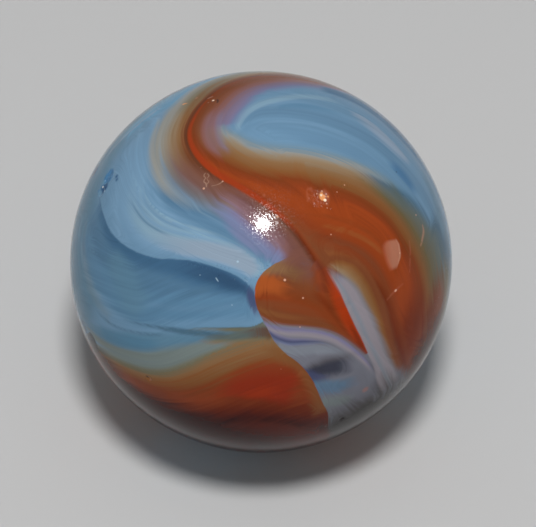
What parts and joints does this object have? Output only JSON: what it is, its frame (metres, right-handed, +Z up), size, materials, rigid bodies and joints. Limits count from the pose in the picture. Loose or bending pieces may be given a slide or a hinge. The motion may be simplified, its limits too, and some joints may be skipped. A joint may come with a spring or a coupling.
{
  "type": "glass marble",
  "caption": "Solid glass playing marble: a true ball of opaque blue glass swirled with orange-red and lilac-white, with small chips and pits in its skin. It rolls, and sits in a ring or cup.",
  "frame": {"origin": "centre of the ball", "axes": "+Z up, through the ball's centre; -Y is the front, the side shown with its large blue and orange swirl"},
  "size_m": [0.016, 0.016, 0.016],
  "materials": {
    "glass": "opaque blue glass with orange-red and lilac-white swirls, glossy with fine wear"
  },
  "bodies": {
    "root": {"marble": "glass"}
  },
  "joints": []
}
